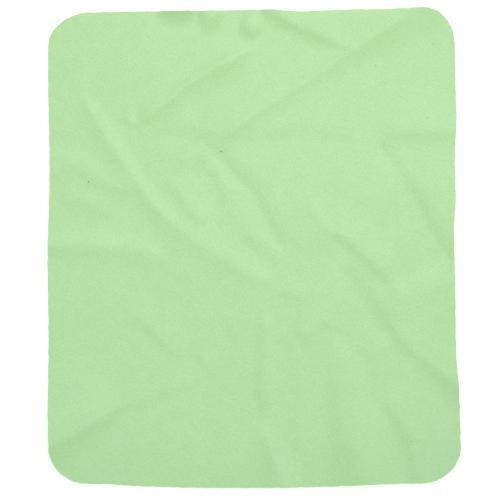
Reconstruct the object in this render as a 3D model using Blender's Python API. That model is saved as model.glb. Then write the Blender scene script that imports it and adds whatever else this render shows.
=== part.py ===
"""A microfibre cloth: one cut sheet with rounded corners, lying flat with soft creases.

Metres, +Z up. X runs across the cloth, Y up along it. The tables are in millimetres.
"""

from collections import namedtuple

import bmesh
import bpy
import numpy as np
from mathutils import Vector
from mathutils.geometry import delaunay_2d_cdt

MM = 0.001
THICKNESS = 1.0
COLOUR = (0.479, 0.753, 0.397, 1.0)
ROUGHNESS = 0.95

EDGE_STEP = 3.0
PATH_STEP = 3.2
GRID_STEP = 5.0
LEAST_GAP = 1.8
FLANK_LINES = (0.75, 1.5, 2.1)
PROFILE_END = 2.1
LEAST_END = 0.01
ARC_POINTS = 9
TOP_LEFT_CUT = 1.1

# Each side of the outline: how far along it, and where its cut edge lies there.
Station = namedtuple("Station", "along edge")
TOP_SIDE = (
    Station(-62.0, 88.1),
    Station(-48.0, 88.4),
    Station(-15.0, 88.8),
    Station(6.0, 89.2),
    Station(17.0, 88.5),
    Station(34.0, 89.2),
    Station(50.0, 89.4),
    Station(63.5, 90.1),
)
RIGHT_SIDE = (
    Station(76.0, 75.3),
    Station(60.0, 75.6),
    Station(48.0, 75.9),
    Station(34.0, 75.3),
    Station(18.0, 75.6),
    Station(7.0, 75.0),
    Station(-16.0, 75.5),
    Station(-39.0, 75.8),
    Station(-54.0, 76.9),
    Station(-75.0, 77.6),
)
BOTTOM_SIDE = (
    Station(62.0, -88.6),
    Station(48.0, -88.8),
    Station(30.0, -89.7),
    Station(4.0, -90.2),
    Station(-20.0, -90.2),
    Station(-42.0, -89.6),
    Station(-55.0, -88.8),
    Station(-62.5, -88.7),
)
LEFT_SIDE = (
    Station(-75.0, -77.0),
    Station(-62.0, -77.3),
    Station(-42.0, -77.1),
    Station(-28.0, -77.1),
    Station(-4.0, -77.4),
    Station(25.0, -76.7),
    Station(40.0, -76.8),
    Station(60.0, -77.2),
    Station(76.0, -77.2),
)

# Broad low swells, each an oval round its centre, where the cloth stands off the table.
Swell = namedtuple("Swell", "name x y half_width half_length rise")
SWELLS = (
    Swell("middle", 25, 5, 75, 70, 1.2),
    Swell("right", 72, 12, 45, 55, 1.3),
    Swell("top", -15, 62, 45, 50, 0.8),
    Swell("bottom_right", 50, -75, 27, 45, 0.9),
    Swell("upper_right", 49, 58, 24, 24, 0.6),
)

# Each crease runs along its path. The pairs are its values at the start and at the
# end: rise above the flat cloth, reach of the flank on the left and on the right of
# the path, and the share of the length over which it fades in and out. A crest of 1
# is sharp, of 2 round. A rise under zero is a trough let into a swell.
Crease = namedtuple("Crease", "name rise left right fade crest path")
CREASES = (
    Crease("long_diagonal", (0.95, 0.6), (1.9, 3.2), (4.0, 4.0), (0.12, 0.4), 1.8,
           ((-64, 57.2), (-58.2, 46.8), (-48, 30.5), (-36, 14), (-24, 4))),
    Crease("upper_right_ray", (0.65, 0.7), (2.2, 2.8), (2.6, 4.4), (0.12, 0.3), 1.3,
           ((-14, 39), (0, 50), (21, 63.2), (36, 73.7), (51, 83.5), (62, 91))),
    Crease("upper_left_ray", (0.8, 1.9), (2.4, 4.0), (2.2, 5.5), (0.15, 0.25), 1.4,
           ((-46, 45.2), (-40, 49.2), (-35, 53), (-30, 56.8), (-25, 61), (-14.5, 67.6),
            (-1, 74.8), (3, 76.8))),
    Crease("top_edge_ray", (1.6, 0.8), (9.0, 6.0), (3.4, 2.4), (0.1, 0.35), 1.8,
           ((1, 91.5), (8.5, 88), (16.5, 83.5), (25.5, 79.5), (34, 75.8), (39.5, 72.5))),
    Crease("top_dent_left", (3.0, 3.0), (4.0, 4.0), (4.0, 4.0), (0.4, 0.4), 1.8,
           ((-38, 90), (-29.5, 89.8), (-19.5, 90))),
    Crease("top_dent_middle", (1.9, 1.7), (5.0, 5.0), (5.4, 5.0), (0.42, 0.42), 1.8,
           ((-22.5, 88.6), (-16.5, 88), (-10, 87.2))),
    Crease("top_dent_small", (1.5, 1.3), (7.0, 7.0), (3.8, 3.6), (0.45, 0.45), 1.8,
           ((-6.5, 83.2), (-1, 82.2), (4.2, 80.8))),
    Crease("cross_trough", (-0.4, -0.35), (4.0, 4.0), (6.0, 6.0), (0.2, 0.3), 1.8,
           ((-42, 42.5), (-31, 41.5), (-12, 38.3), (5, 39.2), (23, 40), (50, 38))),
    Crease("left_hook", (0.6, 0.5), (5.0, 5.0), (3.2, 3.4), (0.15, 0.2), 1.8,
           ((-79, 23), (-74.8, 29.5), (-70.5, 32), (-65, 29.8), (-59, 26.2), (-52, 23.2), (-43, 20))),
    Crease("left_level", (1.1, 0.5), (5.2, 3.5), (3.4, 5.5), (0.0, 0.2), 1.7,
           ((-82, 0.5), (-63, 0.5), (-48, 0), (-38, -3), (-30, -7.5))),
    Crease("short_stroke", (0.5, 0.45), (6.0, 5.0), (2.8, 2.4), (0.2, 0.25), 1.8,
           ((-33.5, 28), (-29, 21.5), (-23, 14), (-18, 6.5))),
    Crease("middle_trough", (-0.6, -0.65), (3.0, 3.2), (3.8, 3.6), (0.1, 0.3), 1.8,
           ((-16, 39), (-9, 28.5), (-1.6, 21.3), (2.7, 13), (6.3, 6), (13, -4))),
    Crease("right_ridge", (0.9, 0.8), (8.0, 8.0), (2.8, 2.6), (0.2, 0.35), 1.7,
           ((25.5, 6), (33.5, 4.5), (41.5, -2.5), (49, -10), (53, -18))),
    Crease("right_trough", (-0.35, -0.7), (3.0, 4.2), (4.0, 5.0), (0.2, 0.25), 1.8,
           ((30.5, -5), (35.5, -11), (39.5, -17.5), (42.5, -23.5), (48.5, -31.5), (53, -37))),
    Crease("right_edge_ridge", (0.7, 1.9), (12.0, 16.0), (3.0, 4.2), (0.25, 0.0), 1.7,
           ((50, -28), (60, -38), (70, -46), (82, -56.5))),
    Crease("right_hollow_top", (-0.65, -0.3), (2.2, 2.8), (4.0, 4.0), (0.3, 0.3), 1.7,
           ((46.5, 40.5), (50, 34), (55.5, 24.5))),
    Crease("right_hollow", (-1.0, -1.4), (3.8, 4.0), (8.0, 20.0), (0.35, 0.25), 1.8,
           ((53, 30), (60.5, 16), (65.5, 6), (77, -12))),
    Crease("right_level", (0.7, 0.9), (9.0, 9.0), (3.4, 4.4), (0.25, 0.1), 1.7,
           ((45, 42), (56, 43.8), (62, 44), (80, 43.7))),
    Crease("low_left_ridge", (4.0, 0.8), (20.0, 7.0), (5.6, 3.6), (0.0, 0.45), 1.8,
           ((-84, -78.5), (-70, -70.5), (-60, -64.7), (-50, -59), (-42, -56))),
    Crease("low_left_stroke", (0.5, 0.55), (6.0, 6.0), (3.0, 3.0), (0.3, 0.35), 1.8,
           ((-51, -19.5), (-44.5, -25), (-35, -33), (-25, -44.5))),
    Crease("low_middle_ridge", (0.8, 0.8), (3.4, 3.6), (3.0, 3.2), (0.2, 0.25), 1.8,
           ((4, -21), (4.5, -40), (4, -50), (3.5, -64))),
    Crease("bottom_ridge", (0.4, 2.5), (3.5, 5.2), (3.4, 6.6), (0.3, 0.0), 1.7,
           ((0.5, -63), (4, -71), (7.5, -78), (10, -85), (12.5, -94))),
    Crease("bottom_thin_ridge", (0.4, 0.4), (4.2, 5.5), (3.0, 4.5), (0.2, 0.25), 1.8,
           ((15, -34), (17, -50), (16.5, -64), (18, -75), (20.5, -88))),
    Crease("bottom_rise", (0.7, 2.0), (8.0, 10.0), (5.0, 8.0), (0.15, 0.0), 2.2,
           ((29, -33), (32.5, -45), (33.7, -56), (35.5, -67), (39, -78), (43, -94))),
    Crease("bottom_trough", (-0.45, -0.75), (3.0, 4.0), (4.5, 6.0), (0.2, 0.0), 1.8,
           ((31, -33.5), (40, -42), (43.5, -50), (47, -60), (52.5, -70), (59.5, -94))),
    Crease("centre_level", (0.3, 0.3), (5.0, 5.0), (3.6, 3.6), (0.3, 0.15), 1.8,
           ((10, 3), (15.5, 4), (22, 3.6), (31, 5.5))),
    Crease("long_diagonal_low", (0.7, 0.5), (4.0, 5.5), (4.5, 3.0), (0.3, 0.3), 1.8,
           ((-46, 27), (-34, 12), (-17.5, -1), (0, -10.8), (12, -16))),
    Crease("upper_right_slope", (0.4, 2.4), (6.0, 10.0), (6.0, 9.0), (0.5, 0.0), 1.6,
           ((10, 57), (36, 73.7), (51, 83.7), (80, 103))),
    Crease("bottom_right_stroke", (0.5, 0.35), (8.0, 8.0), (3.0, 3.6), (0.15, 0.0), 1.8,
           ((47.5, -55.5), (53.5, -62.5), (58.5, -71.5), (61.5, -92))),
    Crease("wedge_slope", (0.3, 0.35), (9.0, 9.0), (3.4, 3.4), (0.35, 0.35), 1.8,
           ((42, -12), (47, -19), (51, -27), (53.5, -34))),
)


def smooth_line(knots, step):
    """Points about one step apart on a smooth curve through the knots."""
    knots = np.array(knots, float)
    ends = np.vstack([2 * knots[0] - knots[1], knots, 2 * knots[-1] - knots[-2]])
    line = []
    for before, start, stop, after in zip(ends, ends[1:], ends[2:], ends[3:]):
        count = max(2, round(np.linalg.norm(stop - start) / step))
        t = np.linspace(0, 1, count, endpoint=False)[:, None]
        line.append(
            start
            + (stop - before) * t / 2
            + (2 * before - 5 * start + 4 * stop - after) * t**2 / 2
            + (3 * start - before - 3 * stop + after) * t**3 / 2
        )
    line.append(knots[-1:])
    return np.vstack(line)


def side_points(stations, across):
    """One side of the outline. across: it runs along X, else along Y."""
    knots = [(s.along, s.edge) if across else (s.edge, s.along) for s in stations]
    return smooth_line(knots, EDGE_STEP)


def corner_points(before, after, turn, cut):
    """The rounded corner between two sides, without its ends. A cut over 1 flattens it."""
    start, stop = before[-1], after[0]
    centre = np.array([start[0], stop[1]]) if turn == "side_next" else np.array([stop[0], start[1]])
    angles = np.linspace(0, np.pi / 2, ARC_POINTS)[1:-1, None]
    return centre + (start - centre) * np.cos(angles) ** cut + (stop - centre) * np.sin(angles) ** cut


def outline():
    """The cut edge, clockwise from the top left corner, centred on the origin."""
    top = side_points(TOP_SIDE, True)
    right = side_points(RIGHT_SIDE, False)
    bottom = side_points(BOTTOM_SIDE, True)
    left = side_points(LEFT_SIDE, False)
    loop = np.vstack([
        top, corner_points(top, right, "side_next", 1.0),
        right, corner_points(right, bottom, "end_next", 1.0),
        bottom, corner_points(bottom, left, "side_next", 1.0),
        left, corner_points(left, top, "end_next", TOP_LEFT_CUT),
    ])
    return loop - (loop.min(0) + loop.max(0)) / 2


def nearest_on(line, points):
    """For each point: distance to the line, side from -1 to 1, share of the length."""
    best = np.full(len(points), np.inf)
    side, along = np.zeros(len(points)), np.zeros(len(points))
    passed = 0.0
    for start, stop in zip(line, line[1:]):
        step = stop - start
        length = np.linalg.norm(step)
        share = np.clip((points - start) @ step / length**2, 0, 1)
        away = points - start - share[:, None] * step
        distance = np.hypot(away[:, 0], away[:, 1])
        cross = (step[0] * away[:, 1] - step[1] * away[:, 0]) / length
        nearer = distance < best
        best[nearer] = distance[nearer]
        side[nearer] = (cross / np.maximum(distance, 1e-9))[nearer]
        along[nearer] = (passed + share * length)[nearer]
        passed += length
    return best, side, along / passed


def between(pair, share):
    return pair[0] + (pair[1] - pair[0]) * share


def falloff(distance, reach, crest):
    """1 on the crest, smoothly down to 0 at PROFILE_END reaches."""
    end = np.exp(-(PROFILE_END**crest))
    return np.maximum(np.exp(-((distance / reach) ** crest)) - end, 0) / (1 - end)


def crease_height(crease, points):
    distance, side, share = nearest_on(smooth_line(crease.path, PATH_STEP), points)
    fade_in, fade_out = np.maximum(crease.fade, 1e-6)
    ends = np.clip(share / fade_in, 0, 1) * np.clip((1 - share) / fade_out, 0, 1)
    reach = between(crease.left, share) * (1 + side) / 2
    reach += between(crease.right, share) * (1 - side) / 2
    reach *= np.maximum(ends, LEAST_END) ** 0.5
    rise = between(crease.rise, share) * ends**2 * (3 - 2 * ends)
    return rise * falloff(distance, reach, crease.crest)


def swell_height(swell, points):
    x = (points[:, 0] - swell.x) / swell.half_width
    y = (points[:, 1] - swell.y) / swell.half_length
    return swell.rise * np.maximum(1 - x**2 - y**2, 0) ** 2


def cloth_height(points):
    """Height of the underside over the table, at points in the plane."""
    swells = sum(swell_height(swell, points) for swell in SWELLS)
    return np.maximum(swells + sum(crease_height(crease, points) for crease in CREASES), 0)


def flank_lines(crease):
    """The crest of a crease and lines along both flanks."""
    crest = smooth_line(crease.path, PATH_STEP)
    ahead = np.gradient(crest, axis=0)
    left = np.stack([-ahead[:, 1], ahead[:, 0]], 1) / np.linalg.norm(ahead, axis=1)[:, None]
    share = np.linspace(0, 1, len(crest))
    lines = [crest]
    for part in FLANK_LINES:
        lines.append(crest + left * (part * between(crease.left, share))[:, None])
        lines.append(crest - left * (part * between(crease.right, share))[:, None])
    return lines


def grid_points(size):
    """A staggered grid over the cloth's width and length."""
    rows = np.arange(-size[1] / 2, size[1] / 2, GRID_STEP * 0.87)
    columns = np.arange(-size[0] / 2, size[0] / 2, GRID_STEP)
    return np.array([(x + (i % 2) * GRID_STEP / 2, y) for i, y in enumerate(rows) for x in columns])


def inside(loop, points):
    """True for points well inside the loop."""
    crossings = np.zeros(len(points), int)
    for start, stop in zip(loop, np.roll(loop, -1, axis=0)):
        spans = (start[1] > points[:, 1]) != (stop[1] > points[:, 1])
        rise = stop[1] - start[1] if stop[1] != start[1] else 1.0
        at = start[0] + (points[:, 1] - start[1]) * (stop[0] - start[0]) / rise
        crossings += spans & (points[:, 0] < at)
    closed = np.vstack([loop, loop[:1]])
    return (crossings % 2 == 1) & (nearest_on(closed, points)[0] > LEAST_GAP)


def spread_points(loop):
    """Points inside the outline: crests first, then flanks, then the grid. Also the crests' edges."""
    lines = [flank_lines(crease) for crease in CREASES]
    ranked = [line[rank] for rank in range(len(lines[0])) for line in lines]
    ranked.append(grid_points(loop.max(0) - loop.min(0)))
    kept, edges, cells = [], [], {}
    for number, line in enumerate(ranked):
        last = None
        for (x, y), well_inside in zip(line, inside(loop, line)):
            column, row = int(x // LEAST_GAP), int(y // LEAST_GAP)
            around = [(column + i, row + j) for i in (-1, 0, 1) for j in (-1, 0, 1)]
            near = [point for cell in around for point in cells.get(cell, ())]
            if not well_inside or any(np.hypot(x - a, y - b) < LEAST_GAP for a, b in near):
                last = None
                continue
            if last is not None and number < len(CREASES):
                edges.append((last, len(kept)))
            last = len(kept)
            cells.setdefault((column, row), []).append((x, y))
            kept.append((x, y))
    return np.array(kept), edges


def flat_mesh(loop):
    """The outline filled with triangles through the spread points."""
    inner, edges = spread_points(loop)
    points = [Vector(p) for p in np.vstack([loop, inner])]
    edges = [(start + len(loop), stop + len(loop)) for start, stop in edges]
    made = delaunay_2d_cdt(points, edges, [list(range(len(loop)))], 1, 1e-5)
    return np.array([tuple(v) for v in made[0]]), made[2]


def cloth_mesh():
    """The sheet as one closed body: underside, upper side and cut edge."""
    places, triangles = flat_mesh(outline())
    heights = cloth_height(places)
    mesh = bmesh.new()
    layers = []
    for offset in (0.0, THICKNESS):
        spots = np.column_stack([places, heights + offset]) * MM
        layers.append([mesh.verts.new(spot) for spot in spots])
    lower, upper = layers
    for triangle in triangles:
        mesh.faces.new([lower[i] for i in triangle])
        mesh.faces.new([upper[i] for i in reversed(triangle)])
    rims = [edge for edge in mesh.edges if len(edge.link_faces) == 1]
    bmesh.ops.bridge_loops(mesh, edges=rims)
    bmesh.ops.triangulate(mesh, faces=mesh.faces[:])
    bmesh.ops.recalc_face_normals(mesh, faces=mesh.faces[:])
    return mesh


def fabric():
    material = bpy.data.materials.new("light_green_microfibre")
    material.use_nodes = True
    surface = material.node_tree.nodes["Principled BSDF"]
    surface.inputs["Base Color"].default_value = COLOUR
    surface.inputs["Roughness"].default_value = ROUGHNESS
    surface.inputs["Metallic"].default_value = 0.0
    return material


def main():
    for thing in list(bpy.data.objects):
        bpy.data.objects.remove(thing, do_unlink=True)
    data = bpy.data.meshes.new("microfibre_cloth")
    mesh = cloth_mesh()
    mesh.to_mesh(data)
    mesh.free()
    data.materials.append(fabric())
    cloth = bpy.data.objects.new("microfibre_cloth", data)
    bpy.context.scene.collection.objects.link(cloth)


main()
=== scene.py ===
"""The looks of a light green microfibre cloth that lies flat with soft creases.

Metres, +Z up, in the frame of the CAD part. The sheet, its outline, creases and lint
are given in millimetres, and MM scales them where they go into the scene.
"""

import math
import random
from collections import namedtuple

import bmesh
import bpy
import numpy as np
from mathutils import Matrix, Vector
from mathutils.geometry import delaunay_2d_cdt

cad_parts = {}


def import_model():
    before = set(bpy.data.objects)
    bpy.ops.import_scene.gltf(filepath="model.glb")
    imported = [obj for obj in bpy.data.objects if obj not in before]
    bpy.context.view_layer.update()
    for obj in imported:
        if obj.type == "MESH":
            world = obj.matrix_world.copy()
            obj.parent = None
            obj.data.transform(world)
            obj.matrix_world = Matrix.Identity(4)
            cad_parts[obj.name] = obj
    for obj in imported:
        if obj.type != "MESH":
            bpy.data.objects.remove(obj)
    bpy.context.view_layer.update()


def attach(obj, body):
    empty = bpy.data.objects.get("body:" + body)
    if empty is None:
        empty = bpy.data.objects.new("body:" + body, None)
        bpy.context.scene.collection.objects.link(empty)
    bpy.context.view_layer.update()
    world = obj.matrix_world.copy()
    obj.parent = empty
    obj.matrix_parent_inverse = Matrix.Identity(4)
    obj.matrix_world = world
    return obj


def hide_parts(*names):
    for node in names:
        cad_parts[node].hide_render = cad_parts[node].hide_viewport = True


MM = 0.001

# The sheet, in millimetres. The middle of its cut edge stands out by EDGE_SWELL.
THICKNESS = 0.7
EDGE_SWELL = 0.12

# The mesh, in millimetres: square cells, then a band of triangles to the cut edge. The
# cells keep CELL_MARGIN of a cell away from a line through every third edge point.
CELL = 0.8
CELL_MARGIN = 0.6
EDGE_STEP = 0.8
EDGE_STRIDE = 3
ARC_POINTS = 32
ONLY_INSIDE = 1
MERGE_WITHIN = 1e-6

# The creases' paths, in millimetres, and profiles. The least values keep divisors over zero.
PATH_STEP = 1.6
PROFILE_END = 2.1
LEAST_END = 0.01
LEAST_FADE = 1e-6
LEAST_DISTANCE = 1e-9

# The photo's frame, seen from straight above, in metres. The sensor is in millimetres.
FRAME_WIDTH = 0.1875
FRAME_CENTRE = (-0.0016, -0.0009)
CAMERA_HEIGHT = 1.6
CAMERA_REACH = 100
SENSOR_WIDTH = 36

# One soft lamp from the upper right, whose pool fades outwards, in degrees, metres and
# watts. The azimuth runs from +Y towards +X.
KEY_AZIMUTH = 30.0
KEY_ELEVATION = 66.0
KEY_DISTANCE = 1.6
KEY_POWER = 30.6
POOL_CENTRE = (0.003, 0.05, 0.0)
POOL_RADIUS = 0.25
LAMP_RADIUS = 0.06

# A white room and a pale table top just under the cloth, in metres.
ROOM_COLOUR = (1, 1, 1, 1)
FILL = 0.617
FLOOR_SIZE = 6.0
FLOOR_DROP = 0.0002
FLOOR_SURFACE = {
    "Base Color": (0.93, 0.93, 0.93, 1),
    "Roughness": 0.9,
    "Specular IOR Level": 0.0,
    "Emission Color": (1, 1, 1, 1),
    "Emission Strength": 0.4,
}

# The knit: how it takes the light, two greens, and the grains that mix them and stand out
# as relief. PILE_DEPTH is in millimetres, and a grain's scale counts per metre.
KNIT_SURFACE = {
    "Roughness": 0.65,
    "Specular IOR Level": 1.0,
    "IOR": 2.0,
    "Sheen Weight": 0.15,
    "Sheen Roughness": 0.5,
}
GREEN_LOW = (0.377, 0.785, 0.255)
GREEN_HIGH = (0.527, 0.897, 0.399)
PILE_DEPTH = 0.08
NOISE_ROUGHNESS = 0.6
Grain = namedtuple("Grain", "name scale detail stretch shade relief")
GRAINS = (
    Grain("ribs", 2600, 2, (1.0, 2.2), 1.55, 1.8),
    Grain("courses", 2600, 2, (2.2, 1.0), 0.65, 0.8),
    Grain("pile", 1100, 3, (1.0, 1.0), 0.5, 1.0),
    Grain("mottle", 260, 3, (1.0, 1.0), 0.5, 1.5),
    Grain("cloud", 45, 3, (1.0, 1.0), 0.4, 0.0),
)

# Lint: its surface and greens, how uneven its curls are, and how they sit on the cloth.
LINT_SURFACE = {"Roughness": 0.9}
LINT_LOW = (0.16, 0.25, 0.12)
LINT_HIGH = (0.24, 0.36, 0.18)
LINT_GRAIN = 3000
LINT_UNEVENNESS = 0.25
LINT_LIFT = 0.3
LINT_HEIGHT = 0.6
LINT_SEED = 7

# Specks of lint: where they lie, and how long and wide they are.
Speck = namedtuple("Speck", "x y length width")
LINT = (
    Speck(-12.4, 36.0, 0.6, 0.5),
    Speck(-62.2, 24.6, 0.45, 0.4),
    Speck(67.1, 76.3, 0.3, 0.25),
    Speck(45.4, 68.1, 0.3, 0.25),
    Speck(64.9, 48.6, 0.35, 0.25),
    Speck(56.2, 76.1, 0.3, 0.25),
    Speck(51.4, 85.7, 0.3, 0.2),
    Speck(34.1, 74.1, 0.3, 0.2),
    Speck(49.5, 36.6, 0.3, 0.25),
    Speck(58.9, -72.6, 0.3, 0.25),
    Speck(27.8, -70.7, 0.3, 0.2),
)

# Each side of the outline: how far along it, and where its cut edge lies there.
Station = namedtuple("Station", "along edge")
TOP_SIDE = (
    Station(-62.0, 88.1),
    Station(-48.0, 88.4),
    Station(-15.0, 88.8),
    Station(6.0, 89.2),
    Station(17.0, 88.5),
    Station(34.0, 89.2),
    Station(50.0, 89.4),
    Station(63.5, 90.1),
)
RIGHT_SIDE = (
    Station(76.0, 75.3),
    Station(60.0, 75.6),
    Station(48.0, 75.9),
    Station(34.0, 75.3),
    Station(18.0, 75.6),
    Station(7.0, 75.0),
    Station(-16.0, 75.5),
    Station(-39.0, 75.8),
    Station(-54.0, 76.9),
    Station(-75.0, 77.6),
)
BOTTOM_SIDE = (
    Station(62.0, -88.6),
    Station(48.0, -88.8),
    Station(30.0, -89.7),
    Station(4.0, -90.2),
    Station(-20.0, -90.2),
    Station(-42.0, -89.6),
    Station(-55.0, -88.8),
    Station(-62.5, -88.7),
)
LEFT_SIDE = (
    Station(-75.0, -77.0),
    Station(-62.0, -77.3),
    Station(-42.0, -77.1),
    Station(-28.0, -77.1),
    Station(-4.0, -77.4),
    Station(25.0, -76.7),
    Station(40.0, -76.8),
    Station(60.0, -77.2),
    Station(76.0, -77.2),
)

# The sides in clockwise order. level: the side runs along X, else along Y. cut: how much
# the corner after it is cut off, from 1, which is an arc.
Side = namedtuple("Side", "stations level cut")
SIDES = (
    Side(TOP_SIDE, True, 1.0),
    Side(RIGHT_SIDE, False, 1.0),
    Side(BOTTOM_SIDE, True, 1.0),
    Side(LEFT_SIDE, False, 1.1),
)

# Fine unevenness of the cut edge: sizes and lengths of the waves that make it up.
Wave = namedtuple("Wave", "size length start")
EDGE_WAVES = (
    Wave(0.03, 3.1, 0.0),
    Wave(0.03, 4.7, 1.3),
    Wave(0.05, 7.9, 2.9),
    Wave(0.02, 2.3, 4.1),
)

# Broad low swells, each an oval round its centre, where the cloth stands off the table.
Swell = namedtuple("Swell", "name x y half_width half_length rise")
SWELLS = (
    Swell("middle", 25, 5, 75, 70, 1.2),
    Swell("right", 72, 12, 45, 55, 1.3),
    Swell("top", -15, 62, 45, 50, 0.8),
    Swell("bottom_right", 50, -75, 27, 45, 0.9),
    Swell("upper_right", 49, 58, 24, 24, 0.6),
)

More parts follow.
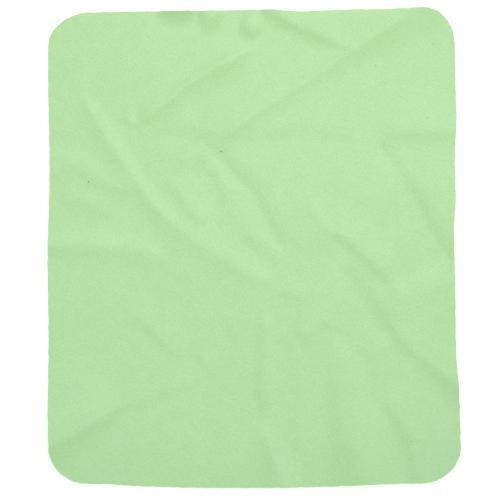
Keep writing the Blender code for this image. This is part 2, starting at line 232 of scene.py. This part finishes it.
# Each crease runs along its path. The pairs are its values at the start and at the
# end: rise above the flat cloth, reach of the flank on the left and on the right of
# the path, and the share of the length over which it fades in and out. A crest of 1
# is sharp, of 2 round. A rise under zero is a trough let into a swell.
Crease = namedtuple("Crease", "name rise left right fade crest path")
CREASES = (
    Crease("long_diagonal", (0.95, 0.6), (1.9, 3.2), (4.0, 4.0), (0.12, 0.4), 1.8,
           ((-64, 57.2), (-58.2, 46.8), (-48, 30.5), (-36, 14), (-24, 4))),
    Crease("upper_right_ray", (0.65, 0.7), (2.2, 2.8), (2.6, 4.4), (0.12, 0.3), 1.3,
           ((-14, 39), (0, 50), (21, 63.2), (36, 73.7), (51, 83.5), (62, 91))),
    Crease("upper_left_ray", (0.8, 1.9), (2.4, 4.0), (2.2, 5.5), (0.15, 0.25), 1.4,
           ((-46, 45.2), (-40, 49.2), (-35, 53), (-30, 56.8), (-25, 61), (-14.5, 67.6),
            (-1, 74.8), (3, 76.8))),
    Crease("top_edge_ray", (1.6, 0.8), (9.0, 6.0), (3.4, 2.4), (0.1, 0.35), 1.8,
           ((1, 91.5), (8.5, 88), (16.5, 83.5), (25.5, 79.5), (34, 75.8), (39.5, 72.5))),
    Crease("top_dent_left", (3.0, 3.0), (4.0, 4.0), (4.0, 4.0), (0.4, 0.4), 1.8,
           ((-38, 90), (-29.5, 89.8), (-19.5, 90))),
    Crease("top_dent_middle", (1.9, 1.7), (5.0, 5.0), (5.4, 5.0), (0.42, 0.42), 1.8,
           ((-22.5, 88.6), (-16.5, 88), (-10, 87.2))),
    Crease("top_dent_small", (1.5, 1.3), (7.0, 7.0), (3.8, 3.6), (0.45, 0.45), 1.8,
           ((-6.5, 83.2), (-1, 82.2), (4.2, 80.8))),
    Crease("top_hollow", (-0.2, -0.2), (3.0, 3.0), (5.0, 5.0), (0.4, 0.4), 1.8,
           ((-18, 80), (-7, 79.5), (3, 78))),
    Crease("cross_trough", (-0.4, -0.35), (4.0, 4.0), (6.0, 6.0), (0.2, 0.3), 1.8,
           ((-42, 42.5), (-31, 41.5), (-12, 38.3), (5, 39.2), (23, 40), (50, 38))),
    Crease("left_hook", (0.6, 0.5), (5.0, 5.0), (3.2, 3.4), (0.15, 0.2), 1.8,
           ((-79, 23), (-74.8, 29.5), (-70.5, 32), (-65, 29.8), (-59, 26.2), (-52, 23.2), (-43, 20))),
    Crease("left_arc", (0.38, 0.2), (4.0, 4.0), (3.2, 3.0), (0.2, 0.4), 1.8,
           ((-75, 18.5), (-66, 18.2), (-58, 15), (-46, 9.5))),
    Crease("left_level", (1.1, 0.5), (5.2, 3.5), (3.4, 5.5), (0.0, 0.2), 1.7,
           ((-82, 0.5), (-63, 0.5), (-48, 0), (-38, -3), (-30, -7.5))),
    Crease("short_stroke", (0.5, 0.45), (6.0, 5.0), (2.8, 2.4), (0.2, 0.25), 1.8,
           ((-33.5, 28), (-29, 21.5), (-23, 14), (-18, 6.5))),
    Crease("middle_shallow", (-0.4, -0.35), (2.8, 2.8), (8.0, 8.0), (0.25, 0.3), 1.8,
           ((-22, 35), (-17, 26), (-14, 19), (-12, 11))),
    Crease("middle_trough", (-0.6, -0.65), (3.0, 3.2), (3.8, 3.6), (0.1, 0.3), 1.8,
           ((-16, 39), (-9, 28.5), (-1.6, 21.3), (2.7, 13), (6.3, 6), (13, -4))),
    Crease("middle_trough_low", (-0.3, -0.3), (3.0, 3.0), (5.0, 5.0), (0.2, 0.3), 1.8,
           ((-6.5, 4.5), (0, -2.5), (8.5, -9))),
    Crease("right_ridge", (0.9, 0.8), (8.0, 8.0), (2.8, 2.6), (0.2, 0.35), 1.7,
           ((25.5, 6), (33.5, 4.5), (41.5, -2.5), (49, -10), (53, -18))),
    Crease("right_trough", (-0.35, -0.7), (3.0, 4.2), (4.0, 5.0), (0.2, 0.25), 1.8,
           ((30.5, -5), (35.5, -11), (39.5, -17.5), (42.5, -23.5), (48.5, -31.5), (53, -37))),
    Crease("right_edge_ridge", (0.7, 1.9), (12.0, 16.0), (3.0, 4.2), (0.25, 0.0), 1.7,
           ((50, -28), (60, -38), (70, -46), (82, -56.5))),
    Crease("right_hollow_top", (-0.65, -0.3), (2.2, 2.8), (4.0, 4.0), (0.3, 0.3), 1.7,
           ((46.5, 40.5), (50, 34), (55.5, 24.5))),
    Crease("right_hollow", (-1.0, -1.4), (3.8, 4.0), (8.0, 20.0), (0.35, 0.25), 1.8,
           ((53, 30), (60.5, 16), (65.5, 6), (77, -12))),
    Crease("right_level", (0.7, 0.9), (9.0, 9.0), (3.4, 4.4), (0.25, 0.1), 1.7,
           ((45, 42), (56, 43.8), (62, 44), (80, 43.7))),
    Crease("right_fan", (-0.5, -0.5), (7.0, 7.0), (5.0, 5.0), (0.3, 0.5), 1.6,
           ((46, 46), (54, 55), (66, 68))),
    Crease("low_left_ridge", (4.0, 0.8), (20.0, 7.0), (5.6, 3.6), (0.0, 0.45), 1.8,
           ((-84, -78.5), (-70, -70.5), (-60, -64.7), (-50, -59), (-42, -56))),
    Crease("low_left_stroke", (0.5, 0.55), (6.0, 6.0), (3.0, 3.0), (0.3, 0.35), 1.8,
           ((-51, -19.5), (-44.5, -25), (-35, -33), (-25, -44.5))),
    Crease("low_left_dash", (0.4, 0.4), (4.0, 4.0), (2.2, 2.2), (0.4, 0.4), 1.7,
           ((-22.5, -38), (-17.8, -43.5), (-14, -50.5))),
    Crease("low_middle_ridge", (0.8, 0.8), (3.4, 3.6), (3.0, 3.2), (0.2, 0.25), 1.8,
           ((4, -21), (4.5, -40), (4, -50), (3.5, -64))),
    Crease("bottom_ridge", (0.4, 2.5), (3.5, 5.2), (3.4, 6.6), (0.3, 0.0), 1.7,
           ((0.5, -63), (4, -71), (7.5, -78), (10, -85), (12.5, -94))),
    Crease("bottom_thin_ridge", (0.4, 0.4), (4.2, 5.5), (3.0, 4.5), (0.2, 0.25), 1.8,
           ((15, -34), (17, -50), (16.5, -64), (18, -75), (20.5, -88))),
    Crease("bottom_chevron", (0.6, 0.6), (8.0, 8.0), (3.4, 3.0), (0.25, 0.3), 1.8,
           ((14, -32), (21, -31), (26, -27.5), (32, -29.5))),
    Crease("bottom_rise", (0.7, 2.0), (8.0, 10.0), (5.0, 8.0), (0.15, 0.0), 2.2,
           ((29, -33), (32.5, -45), (33.7, -56), (35.5, -67), (39, -78), (43, -94))),
    Crease("bottom_trough", (-0.45, -0.75), (3.0, 4.0), (4.5, 6.0), (0.2, 0.0), 1.8,
           ((31, -33.5), (40, -42), (43.5, -50), (47, -60), (52.5, -70), (59.5, -94))),
    Crease("centre_level", (0.3, 0.3), (5.0, 5.0), (3.6, 3.6), (0.3, 0.15), 1.8,
           ((10, 3), (15.5, 4), (22, 3.6), (31, 5.5))),
    Crease("centre_ray", (0.3, 0.3), (2.5, 2.5), (3.0, 3.0), (0.3, 0.3), 1.8,
           ((20, 18), (24, 12), (28.5, 5))),
    Crease("top_edge_lip", (0.7, 0.5), (2.4, 2.4), (6.0, 6.0), (0.3, 0.4), 1.8,
           ((12, 87.5), (26, 87), (40, 87.2), (56, 88))),
    Crease("low_left_tail", (0.35, 0.4), (5.0, 6.0), (3.4, 3.2), (0.35, 0.3), 1.8,
           ((-56, -60), (-46, -57), (-38, -54.5), (-27, -51), (-16, -49.5))),
    Crease("long_diagonal_low", (0.7, 0.5), (4.0, 5.5), (4.5, 3.0), (0.3, 0.3), 1.8,
           ((-46, 27), (-34, 12), (-17.5, -1), (0, -10.8), (12, -16))),
    Crease("left_low_dent", (0.5, 0.4), (9.0, 7.0), (4.5, 4.0), (0.0, 0.4), 1.8,
           ((-82, -50), (-70, -50.5), (-60, -51.5), (-52, -51))),
    Crease("centre_dark_dash", (0.3, 0.3), (5.0, 5.0), (3.0, 3.0), (0.4, 0.4), 1.8,
           ((-14, -22), (-7.5, -30), (-5, -38))),
    Crease("link_stroke", (0.3, 0.5), (3.0, 5.0), (2.5, 4.0), (0.25, 0.5), 1.8,
           ((50.5, -10), (54, -18), (53.5, -27), (56, -36))),
    Crease("upper_left_hook", (0.2, 0.3), (1.4, 1.6), (1.0, 1.2), (0.3, 0.3), 1.8,
           ((-46.8, 58), (-47.2, 52), (-47.8, 48.5), (-45.5, 46.4), (-40.5, 46.2))),
    Crease("diagonal_end", (0.5, 0.5), (3.2, 3.2), (3.4, 3.4), (0.45, 0.45), 1.8,
           ((8.5, -15.5), (15, -17), (21.5, -17.5))),
    Crease("diagonal_shoulder", (0.35, 0.3), (2.6, 3.5), (9.0, 7.0), (0.3, 0.3), 1.8,
           ((-64, 58), (-57, 44), (-47, 29))),
    Crease("upper_right_slope", (0.4, 2.4), (6.0, 10.0), (6.0, 9.0), (0.5, 0.0), 1.6,
           ((10, 57), (36, 73.7), (51, 83.7), (80, 103))),
    Crease("bottom_right_stroke", (0.5, 0.35), (8.0, 8.0), (3.0, 3.6), (0.15, 0.0), 1.8,
           ((47.5, -55.5), (53.5, -62.5), (58.5, -71.5), (61.5, -92))),
    Crease("wedge_slope", (0.3, 0.35), (9.0, 9.0), (3.4, 3.4), (0.35, 0.35), 1.8,
           ((42, -12), (47, -19), (51, -27), (53.5, -34))),
)


def smooth_line(knots, step):
    """Points about one step apart on a smooth curve through the knots."""
    knots = np.array(knots, float)
    ends = np.vstack([2 * knots[0] - knots[1], knots, 2 * knots[-1] - knots[-2]])
    line = []
    for before, start, stop, after in zip(ends, ends[1:], ends[2:], ends[3:]):
        count = max(2, round(np.linalg.norm(stop - start) / step))
        t = np.linspace(0, 1, count, endpoint=False)[:, None]
        line.append(
            start
            + (stop - before) * t / 2
            + (2 * before - 5 * start + 4 * stop - after) * t**2 / 2
            + (3 * start - before - 3 * stop + after) * t**3 / 2
        )
    line.append(knots[-1:])
    return np.vstack(line)


def side_points(side):
    knots = [(s.along, s.edge) if side.level else (s.edge, s.along) for s in side.stations]
    return smooth_line(knots, EDGE_STEP)


def corner_points(side, start, stop):
    """The rounded corner after a side, between its two ends and without them."""
    centre = np.array([start[0], stop[1]]) if side.level else np.array([stop[0], start[1]])
    angles = np.linspace(0, np.pi / 2, ARC_POINTS)[1:-1, None]
    leaving, arriving = np.cos(angles) ** side.cut, np.sin(angles) ** side.cut
    return centre + (start - centre) * leaving + (stop - centre) * arriving


def outline():
    """The cut edge, clockwise from the top left corner, centred on the origin."""
    lines = [side_points(side) for side in SIDES]
    loop = []
    for side, line, after in zip(SIDES, lines, lines[1:] + lines[:1]):
        loop += [line, corner_points(side, line[-1], after[0])]
    loop = np.vstack(loop)
    return loop - (loop.min(0) + loop.max(0)) / 2


def nearest_on(line, points):
    """For each point: distance to the line, side from -1 to 1, share of the length."""
    best = np.full(len(points), np.inf)
    side, along = np.zeros(len(points)), np.zeros(len(points))
    passed = 0.0
    for start, stop in zip(line, line[1:]):
        step = stop - start
        length = np.linalg.norm(step)
        share = np.clip((points - start) @ step / length**2, 0, 1)
        away = points - start - share[:, None] * step
        distance = np.hypot(away[:, 0], away[:, 1])
        cross = (step[0] * away[:, 1] - step[1] * away[:, 0]) / length
        nearer = distance < best
        best[nearer] = distance[nearer]
        side[nearer] = (cross / np.maximum(distance, LEAST_DISTANCE))[nearer]
        along[nearer] = (passed + share * length)[nearer]
        passed += length
    return best, side, along / passed


def between(pair, share):
    """The value at a share of the way from the pair's first to its second."""
    return pair[0] + (pair[1] - pair[0]) * share


def falloff(distance, reach, crest):
    """1 on the crest, smoothly down to 0 at PROFILE_END reaches."""
    end = np.exp(-(PROFILE_END**crest))
    return np.maximum(np.exp(-((distance / reach) ** crest)) - end, 0) / (1 - end)


def crease_height(crease, points):
    """What one crease adds to the height, at points in the plane."""
    distance, side, share = nearest_on(smooth_line(crease.path, PATH_STEP), points)
    fade_in, fade_out = np.maximum(crease.fade, LEAST_FADE)
    ends = np.clip(share / fade_in, 0, 1) * np.clip((1 - share) / fade_out, 0, 1)
    reach = between(crease.left, share) * (1 + side) / 2
    reach += between(crease.right, share) * (1 - side) / 2
    reach *= np.maximum(ends, LEAST_END) ** 0.5
    rise = between(crease.rise, share) * ends**2 * (3 - 2 * ends)
    return rise * falloff(distance, reach, crease.crest)


def swell_height(swell, points):
    """What one swell adds to the height, at points in the plane."""
    x = (points[:, 0] - swell.x) / swell.half_width
    y = (points[:, 1] - swell.y) / swell.half_length
    return swell.rise * np.maximum(1 - x**2 - y**2, 0) ** 2


def cloth_height(points):
    """Height of the underside over the table, at points in the plane."""
    swells = sum(swell_height(swell, points) for swell in SWELLS)
    return np.maximum(swells + sum(crease_height(crease, points) for crease in CREASES), 0)


def inside(loop, points):
    """True for points inside the loop and far enough from it for a cell's corner."""
    crossings = np.zeros(len(points), int)
    for start, stop in zip(loop, np.roll(loop, -1, axis=0)):
        spans = (start[1] > points[:, 1]) != (stop[1] > points[:, 1])
        rise = stop[1] - start[1] if stop[1] != start[1] else 1.0
        at = start[0] + (points[:, 1] - start[1]) * (stop[0] - start[0]) / rise
        crossings += spans & (points[:, 0] < at)
    closed = np.vstack([loop[::EDGE_STRIDE], loop[:1]])
    return (crossings % 2 == 1) & (nearest_on(closed, points)[0] > CELL * CELL_MARGIN)


def grid_cells(loop):
    """Square cells well inside the cut edge: their corners, and four corners each."""
    low, high = loop.min(0), loop.max(0)
    columns = int((high[0] - low[0]) / CELL) + 1
    rows = int((high[1] - low[1]) / CELL) + 1
    x = low[0] + CELL * np.arange(columns)
    y = low[1] + CELL * np.arange(rows)
    places = np.stack(np.meshgrid(x, y), -1).reshape(-1, 2)
    kept = inside(loop, places)
    number = np.where(kept, np.cumsum(kept) - 1, -1).reshape(rows, columns)
    corners = np.stack([number[:-1, :-1], number[:-1, 1:], number[1:, 1:], number[1:, :-1]], -1)
    return places[kept], corners[(corners >= 0).all(-1)]


def rim_band(loop, places, cells):
    """Triangles between the cells and the cut edge, numbered after the cells' corners."""
    sides = np.concatenate([cells[:, [i, (i + 1) % 4]] for i in range(4)])
    known = {(a, b) for a, b in sides.tolist()}
    open_sides = [side for side in sides.tolist() if (side[1], side[0]) not in known]
    used = sorted({corner for side in open_sides for corner in side})
    local = {corner: len(loop) + i for i, corner in enumerate(used)}
    points = [Vector(p) for p in np.vstack([loop, places[used]])]
    edges = [(local[a], local[b]) for a, b in open_sides]
    made = delaunay_2d_cdt(points, edges, [list(range(len(loop)))], ONLY_INSIDE, MERGE_WITHIN)
    spots = np.array([tuple(v) for v in made[0]])
    low = places.min(0)
    filled = {tuple(c) for c in np.floor((places[cells[:, 0]] + CELL / 2 - low) / CELL).astype(int)}
    names = list(range(len(places), len(places) + len(loop))) + used
    band = []
    for triangle in made[2]:
        middle = np.floor((spots[list(triangle)].mean(0) - low) / CELL).astype(int)
        if tuple(middle) not in filled:
            band.append([names[i] for i in triangle])
    return band


def ripple(loop):
    """How far the cut edge wavers out or in, along the loop."""
    passed = np.cumsum(np.linalg.norm(loop - np.roll(loop, 1, axis=0), axis=1))
    return sum(wave.size * np.sin(2 * np.pi * passed / wave.length + wave.start) for wave in EDGE_WAVES)


def edge_lines():
    """The outermost line of the cut edge, and the loop round both faces just inside it."""
    line = outline()
    ahead = np.roll(line, -1, axis=0) - np.roll(line, 1, axis=0)
    outward = np.stack([-ahead[:, 1], ahead[:, 0]], 1) / np.linalg.norm(ahead, axis=1)[:, None]
    line += outward * ripple(line)[:, None]
    return line, line - outward * EDGE_SWELL


def layer(mesh, spots, heights):
    """A vertex over each spot in the plane, at its height."""
    return [mesh.verts.new(v) for v in np.column_stack([spots, heights]) * MM]


def close_rim(mesh, over, rim, under):
    """Two bands of faces round the cut edge, with a crisp border to the upper and lower face."""
    for i in range(len(rim)):
        after = (i + 1) % len(rim)
        mesh.faces.new([over[i], over[after], rim[after], rim[i]])
        mesh.faces.new([rim[i], rim[after], under[after], under[i]])
        for border in (over, under):
            mesh.edges.get((border[i], border[after])).smooth = False


def sheet_body():
    """The cloth as one closed body with a softly rounded cut edge."""
    rim_line, loop = edge_lines()
    places, cells = grid_cells(loop)
    band = rim_band(loop, places, cells)
    spots = np.vstack([places, loop])
    heights = cloth_height(spots)
    mesh = bmesh.new()
    under = layer(mesh, spots, heights)
    over = layer(mesh, spots, heights + THICKNESS)
    for face in [*cells.tolist(), *band]:
        mesh.faces.new([over[i] for i in face])
        mesh.faces.new([under[i] for i in reversed(face)])
    inner = len(places)
    rim = layer(mesh, rim_line, heights[inner:] + THICKNESS / 2)
    close_rim(mesh, over[inner:], rim, under[inner:])
    bmesh.ops.recalc_face_normals(mesh, faces=mesh.faces[:])
    for face in mesh.faces:
        face.smooth = True
    return mesh


def lint_body():
    """Small dark curls of lint on the cloth."""
    dice = random.Random(LINT_SEED)
    mesh = bmesh.new()
    for speck in LINT:
        ground = cloth_height(np.array([[speck.x, speck.y]]))[0] + THICKNESS
        made = bmesh.ops.create_icosphere(mesh, subdivisions=2, radius=0.5)["verts"]
        turn = dice.uniform(0, math.pi)
        for vert in made:
            x, y, z = vert.co * (1 + dice.uniform(-LINT_UNEVENNESS, LINT_UNEVENNESS))
            x, y = x * speck.length, y * speck.width
            vert.co.x = (speck.x + x * math.cos(turn) - y * math.sin(turn)) * MM
            vert.co.y = (speck.y + x * math.sin(turn) + y * math.cos(turn)) * MM
            vert.co.z = (ground + (z + LINT_LIFT) * speck.width * LINT_HEIGHT) * MM
    return mesh


def add_piece(name, mesh, material):
    """The mesh as an object in the scene."""
    data = bpy.data.meshes.new(name)
    mesh.to_mesh(data)
    mesh.free()
    data.materials.append(material)
    piece = bpy.data.objects.new(name, data)
    bpy.context.scene.collection.objects.link(piece)
    return piece


def noise(tree, place, scale, detail, stretch):
    """A noise of the given scale per metre, stretched along x and y. Returns its value socket."""
    mapping = tree.nodes.new("ShaderNodeMapping")
    mapping.inputs["Scale"].default_value = (1 / stretch[0], 1 / stretch[1], 1)
    tree.links.new(place, mapping.inputs["Vector"])
    made = tree.nodes.new("ShaderNodeTexNoise")
    made.inputs["Scale"].default_value = scale
    made.inputs["Detail"].default_value = detail
    made.inputs["Roughness"].default_value = NOISE_ROUGHNESS
    tree.links.new(mapping.outputs["Vector"], made.inputs["Vector"])
    return made.outputs["Fac"]


def computed(tree, operation, *terms):
    """The value socket of a maths node whose terms are sockets or numbers."""
    node = tree.nodes.new("ShaderNodeMath")
    node.operation = operation
    for slot, term in zip(node.inputs, terms):
        if isinstance(term, bpy.types.NodeSocket):
            tree.links.new(term, slot)
        else:
            slot.default_value = term
    return node.outputs[0]


def weighted(tree, parts):
    """The sum of (socket - 0.5) * weight over the parts."""
    terms = [computed(tree, "MULTIPLY_ADD", socket, weight, -weight / 2) for socket, weight in parts]
    total = terms[0]
    for term in terms[1:]:
        total = computed(tree, "ADD", total, term)
    return total


def new_material(name, settings):
    """A material of one Principled surface: the material, its tree and the surface."""
    material = bpy.data.materials.new(name)
    material.use_nodes = True
    surface = material.node_tree.nodes["Principled BSDF"]
    for setting, value in settings.items():
        surface.inputs[setting].default_value = value
    return material, material.node_tree, surface


def suede_knit():
    """Light green suede-like knit: fine ribs, a matted pile and a faint mottle."""
    material, tree, surface = new_material("light_green_microfibre", KNIT_SURFACE)
    place = tree.nodes.new("ShaderNodeTexCoord").outputs["Object"]
    made = [(grain, noise(tree, place, grain.scale, grain.detail, grain.stretch)) for grain in GRAINS]
    shade = weighted(tree, [(socket, grain.shade) for grain, socket in made])
    share = computed(tree, "ADD", shade, 0.5)
    share.node.use_clamp = True
    mixed = tree.nodes.new("ShaderNodeMix")
    mixed.data_type = "RGBA"
    mixed.inputs["A"].default_value = (*GREEN_LOW, 1)
    mixed.inputs["B"].default_value = (*GREEN_HIGH, 1)
    tree.links.new(share, mixed.inputs["Factor"])
    tree.links.new(mixed.outputs["Result"], surface.inputs["Base Color"])
    relief = weighted(tree, [(socket, grain.relief) for grain, socket in made if grain.relief])
    bump = tree.nodes.new("ShaderNodeBump")
    bump.inputs["Strength"].default_value = 1.0
    bump.inputs["Distance"].default_value = PILE_DEPTH * MM
    tree.links.new(relief, bump.inputs["Height"])
    tree.links.new(bump.outputs["Normal"], surface.inputs["Normal"])
    return material


def lint_fibre():
    """Dark green fibre, uneven in shade."""
    material, tree, surface = new_material("dark_lint", LINT_SURFACE)
    place = tree.nodes.new("ShaderNodeTexCoord").outputs["Object"]
    ramp = tree.nodes.new("ShaderNodeValToRGB")
    ramp.color_ramp.elements[0].color = (*LINT_LOW, 1)
    ramp.color_ramp.elements[1].color = (*LINT_HIGH, 1)
    tree.links.new(noise(tree, place, LINT_GRAIN, 2, (1.0, 1.0)), ramp.inputs["Fac"])
    tree.links.new(ramp.outputs["Color"], surface.inputs["Base Color"])
    return material


def add_floor():
    mesh = bmesh.new()
    bmesh.ops.create_grid(mesh, x_segments=1, y_segments=1, size=FLOOR_SIZE)
    floor = add_piece("floor", mesh, new_material("pale_floor", FLOOR_SURFACE)[0])
    floor.location.z = -FLOOR_DROP


def add_key():
    """A soft round lamp that fades towards the edge of its pool."""
    data = bpy.data.lights.new("key", "SPOT")
    data.shadow_soft_size = LAMP_RADIUS
    data.spot_size = 2 * math.atan(POOL_RADIUS / KEY_DISTANCE)
    data.spot_blend = 1.0
    data.energy = KEY_POWER
    lamp = bpy.data.objects.new("key", data)
    turn, tilt = math.radians(KEY_AZIMUTH), math.radians(KEY_ELEVATION)
    away = Vector((math.sin(turn) * math.cos(tilt), math.cos(turn) * math.cos(tilt), math.sin(tilt)))
    lamp.location = Vector(POOL_CENTRE) + KEY_DISTANCE * away
    lamp.rotation_mode = "QUATERNION"
    lamp.rotation_quaternion = (Vector(POOL_CENTRE) - lamp.location).to_track_quat("-Z", "Y")
    bpy.context.scene.collection.objects.link(lamp)


def add_room():
    """Even light from all round, with colours shown as they are."""
    world = bpy.data.worlds.new("room")
    world.use_nodes = True
    background = world.node_tree.nodes["Background"]
    background.inputs["Color"].default_value = ROOM_COLOUR
    background.inputs["Strength"].default_value = FILL
    bpy.context.scene.world = world
    bpy.context.scene.view_settings.view_transform = "Standard"


def add_camera():
    """Straight down, with the photo's frame."""
    data = bpy.data.cameras.new("camera")
    data.sensor_width = SENSOR_WIDTH
    data.lens = SENSOR_WIDTH * CAMERA_HEIGHT / FRAME_WIDTH
    data.clip_end = CAMERA_REACH
    camera = bpy.data.objects.new("camera", data)
    camera.location = (*FRAME_CENTRE, CAMERA_HEIGHT)
    bpy.context.scene.collection.objects.link(camera)
    bpy.context.scene.camera = camera


def main():
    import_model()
    cloth = add_piece("cloth", sheet_body(), suede_knit())
    lint = add_piece("lint", lint_body(), lint_fibre())
    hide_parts("microfibre_cloth")
    for piece in (cloth, lint):
        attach(piece, "root")
    add_floor()
    add_key()
    add_room()
    add_camera()


main()
